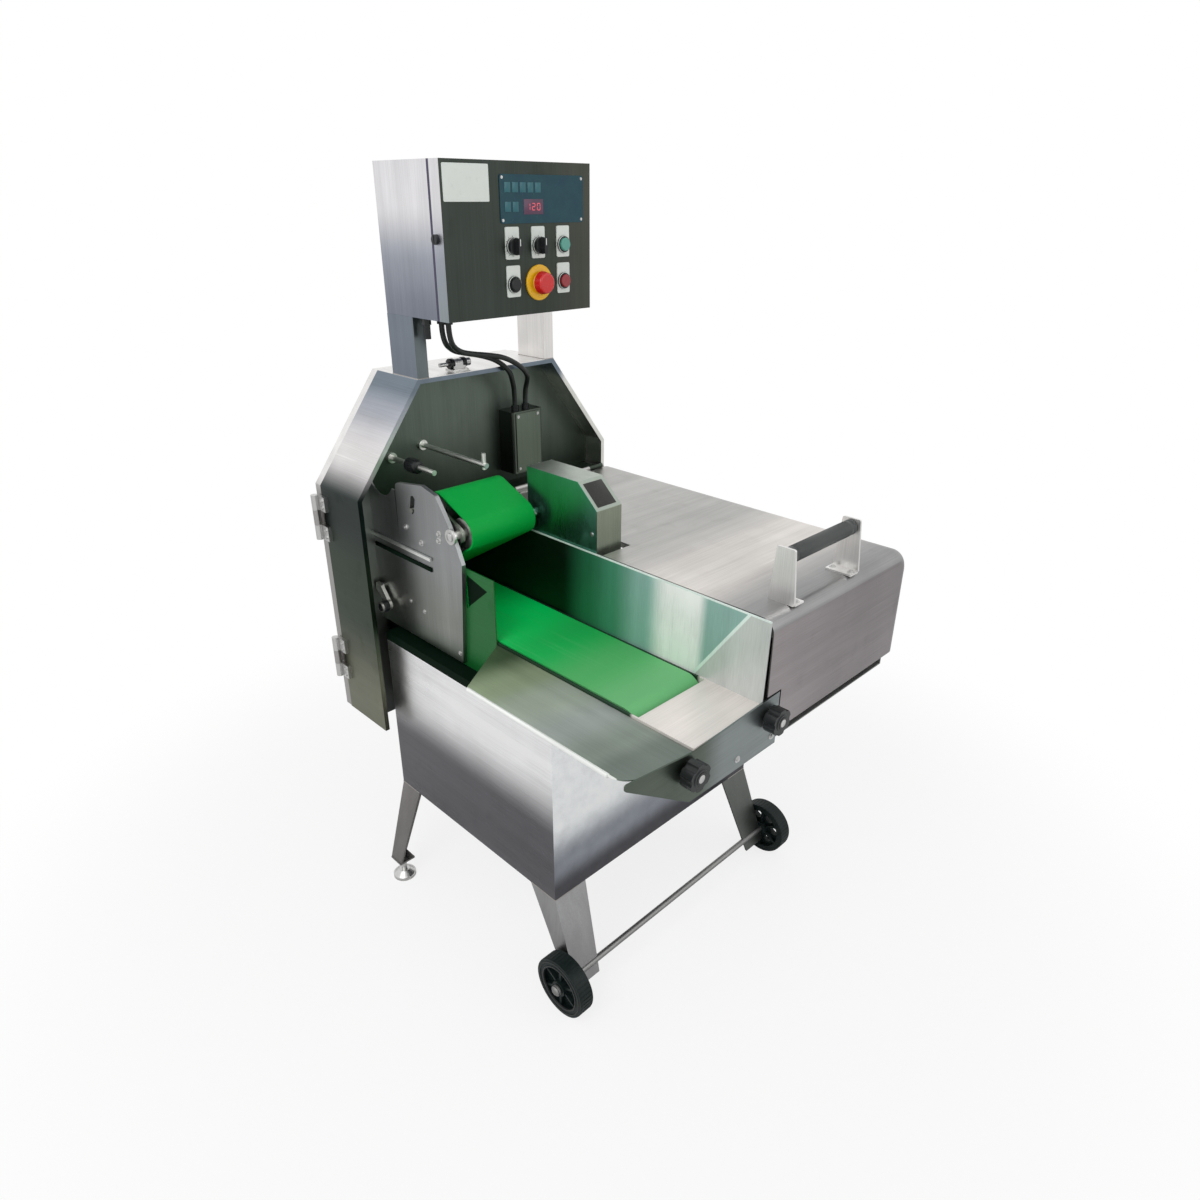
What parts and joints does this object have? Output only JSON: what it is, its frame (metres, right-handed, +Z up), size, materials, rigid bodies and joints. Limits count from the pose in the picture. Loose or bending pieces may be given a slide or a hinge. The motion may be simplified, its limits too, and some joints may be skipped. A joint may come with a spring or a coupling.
{
  "type": "belt vegetable cutting machine",
  "caption": "Wheeled stainless steel vegetable cutter: a green feed belt under a lifting press belt leads to a knife disc in a six-sided head, with a control box on posts above.",
  "frame": {"origin": "on the floor under the middle of the machine's bounding box", "axes": "+X towards the feed end with the tension knobs, -Y the operator's side with the apron, +Z up"},
  "size_m": [0.926, 0.7424, 1.4],
  "materials": {
    "stainless": "brushed stainless sheet",
    "cast_housing": "cast, satin",
    "motor_paint": "painted",
    "gasket_rubber": "matt",
    "belt_green": "smooth, satin",
    "vee_belt": "matt",
    "tyre_black": "matt",
    "knob_black": "matt",
    "lavender_door": "brushed, dark",
    "display_blue": "gloss film",
    "plate_white": "printed plate, bare",
    "red_button": "gloss",
    "green_button": "gloss",
    "black_button": "gloss",
    "cable_black": "matt sheath",
    "knife_steel": "ground and polished",
    "grey_plastic": "matt"
  },
  "bodies": {
    "frame": {"cabinet": "stainless", "base_gasket": "gasket_rubber", "front_legs": "stainless", "rear_legs": "stainless", "levelling_feet": "stainless", "wheel_axle": "stainless", "head_band": "stainless", "partition_plate": "stainless", "cover_hinges": "stainless", "interlock_housing": "stainless", "control_posts": "stainless", "control_box": "stainless", "control_gear": "grey_plastic", "junction_box": "stainless", "cable_glands": "grey_plastic", "control_cables": "cable_black", "bed_pan": "stainless", "end_plate": "stainless", "guide_wall": "stainless", "slider_bed": "stainless", "feed_belt": "belt_green", "side_plate": "stainless", "pressure_rods": "stainless", "press_guard": "stainless", "shaft_bearings": "cast_housing", "drive_belt": "vee_belt", "cutter_motor": "motor_paint", "feed_gearmotor": "motor_paint"},
    "near_wheel": {"wheel_near": "tyre_black"},
    "far_wheel": {"wheel_far": "tyre_black"},
    "rear_door": {"rear_cover": "stainless"},
    "safety_bolt": {"interlock_bolt": "stainless"},
    "box_door": {"control_door": "lavender_door", "display_panel": "display_blue", "legend_plates": "plate_white", "switch_bodies": "black_button"},
    "lock": {"door_lock": "stainless"},
    "speed_dial": {"speed_knob": "knob_black"},
    "mode_switch": {"mode_knob": "knob_black"},
    "start_push": {"start_button": "green_button"},
    "jog_push": {"jog_button": "black_button"},
    "stop_push": {"stop_button": "red_button"},
    "emergency_push": {"emergency_button": "red_button"},
    "feed_drive": {"drive_roller": "stainless"},
    "feed_tail": {"tail_roller": "stainless"},
    "near_screw": {"tension_knob_near": "knob_black"},
    "far_screw": {"tension_knob_far": "knob_black"},
    "lever": {"clamp_lever": "stainless"},
    "press": {"press_frame": "stainless", "press_belt": "belt_green"},
    "press_front": {"press_front_roller": "stainless"},
    "press_top": {"press_top_roller": "stainless"},
    "press_rear": {"press_rear_roller": "stainless"},
    "lid": {"drive_cover": "stainless", "cover_handle": "stainless"},
    "cutter": {"cutter_disc": "cast_housing", "cutter_knives": "knife_steel", "cutter_shaft": "stainless", "cutter_pulley": "cast_housing"},
    "motor_rotor": {"motor_pulley": "cast_housing"}
  },
  "joints": [
    {"name": "wheel_near_spin", "type": "hinge", "parent": "frame", "child": "near_wheel", "pos_m": [0.2205, -0.28777, 0.0575], "axis": [0, 1, 0], "continuous": true},
    {"name": "wheel_far_spin", "type": "hinge", "parent": "frame", "child": "far_wheel", "pos_m": [0.2205, 0.32623, 0.0575], "axis": [0, 1, 0], "continuous": true},
    {"name": "rear_cover_swing", "type": "hinge", "parent": "frame", "child": "rear_door", "pos_m": [-0.453, -0.30577, 0.6], "axis": [0, 0, 1], "range_deg": [0, 110]},
    {"name": "interlock_slide", "type": "slide", "parent": "frame", "child": "safety_bolt", "axis": [0, 1, 0], "range_m": [0, 0.012], "stiffness_N_per_m": 300},
    {"name": "control_door_swing", "type": "hinge", "parent": "frame", "child": "box_door", "pos_m": [-0.23075, 0.18703, 1.276], "axis": [0, 0, 1], "range_deg": [0, 120]},
    {"name": "door_lock_turn", "type": "hinge", "parent": "box_door", "child": "lock", "pos_m": [-0.216, -0.14277, 1.282], "axis": [0, 1, 0], "range_deg": [0, 90]},
    {"name": "speed_knob_turn", "type": "hinge", "parent": "box_door", "child": "speed_dial", "pos_m": [-0.197, -0.00377, 1.268], "axis": [1, 0, 0], "range_deg": [0, 270]},
    {"name": "mode_knob_turn", "type": "hinge", "parent": "box_door", "child": "mode_switch", "pos_m": [-0.197, 0.05523, 1.268], "axis": [1, 0, 0], "range_deg": [0, 90]},
    {"name": "start_press", "type": "slide", "parent": "box_door", "child": "start_push", "axis": [-1, 0, 0], "range_m": [0, 0.003], "stiffness_N_per_m": 300},
    {"name": "jog_press", "type": "slide", "parent": "box_door", "child": "jog_push", "axis": [-1, 0, 0], "range_m": [0, 0.003], "stiffness_N_per_m": 300},
    {"name": "stop_press", "type": "slide", "parent": "box_door", "child": "stop_push", "axis": [-1, 0, 0], "range_m": [0, 0.003], "stiffness_N_per_m": 300},
    {"name": "emergency_press", "type": "slide", "parent": "box_door", "child": "emergency_push", "axis": [-1, 0, 0], "range_m": [0, 0.004]},
    {"name": "drive_roller_spin", "type": "hinge", "parent": "frame", "child": "feed_drive", "pos_m": [-0.3295, -0.14577, 0.618], "axis": [0, 1, 0], "continuous": true},
    {"name": "tail_roller_spin", "type": "hinge", "parent": "frame", "child": "feed_tail", "pos_m": [0.2905, -0.14577, 0.618], "axis": [0, 1, 0], "continuous": true},
    {"name": "tension_near_turn", "type": "hinge", "parent": "frame", "child": "near_screw", "pos_m": [0.436, -0.24377, 0.621], "axis": [1, 0, 0], "continuous": true},
    {"name": "tension_far_turn", "type": "hinge", "parent": "frame", "child": "far_screw", "pos_m": [0.436, -0.04777, 0.621], "axis": [1, 0, 0], "continuous": true},
    {"name": "clamp_lever_turn", "type": "hinge", "parent": "frame", "child": "lever", "pos_m": [-0.3505, -0.24277, 0.65], "axis": [0, -1, 0], "range_deg": [0, 80]},
    {"name": "press_lift", "type": "hinge", "parent": "frame", "child": "press", "pos_m": [-0.103, -0.14577, 0.82], "axis": [0, 1, 0], "range_deg": [0, 11]},
    {"name": "press_front_spin", "type": "hinge", "parent": "press", "child": "press_front", "pos_m": [-0.103, -0.14577, 0.82], "axis": [0, 1, 0], "continuous": true},
    {"name": "press_top_spin", "type": "hinge", "parent": "press", "child": "press_top", "pos_m": [-0.17, -0.14577, 0.848], "axis": [0, 1, 0], "continuous": true},
    {"name": "press_rear_spin", "type": "hinge", "parent": "press", "child": "press_rear", "pos_m": [-0.305, -0.14577, 0.7], "axis": [0, 1, 0], "continuous": true},
    {"name": "drive_cover_lift", "type": "hinge", "parent": "frame", "child": "lid", "pos_m": [-0.299, 0.13923, 0.792], "axis": [0, -1, 0], "range_deg": [0, 35]},
    {"name": "cutter_spin", "type": "hinge", "parent": "frame", "child": "cutter", "pos_m": [-0.3815, 0.01923, 0.7], "axis": [1, 0, 0], "continuous": true},
    {"name": "motor_pulley_spin", "type": "hinge", "parent": "frame", "child": "motor_rotor", "pos_m": [-0.1345, 0.05923, 0.306], "axis": [1, 0, 0], "continuous": true}
  ],
  "couplings": [
    {"joint": "tail_roller_spin", "follows": "drive_roller_spin", "ratio": 1},
    {"joint": "press_front_spin", "follows": "drive_roller_spin", "ratio": -1},
    {"joint": "press_top_spin", "follows": "drive_roller_spin", "ratio": -1},
    {"joint": "press_rear_spin", "follows": "drive_roller_spin", "ratio": -1},
    {"joint": "motor_pulley_spin", "follows": "cutter_spin", "ratio": 1.7143}
  ]
}
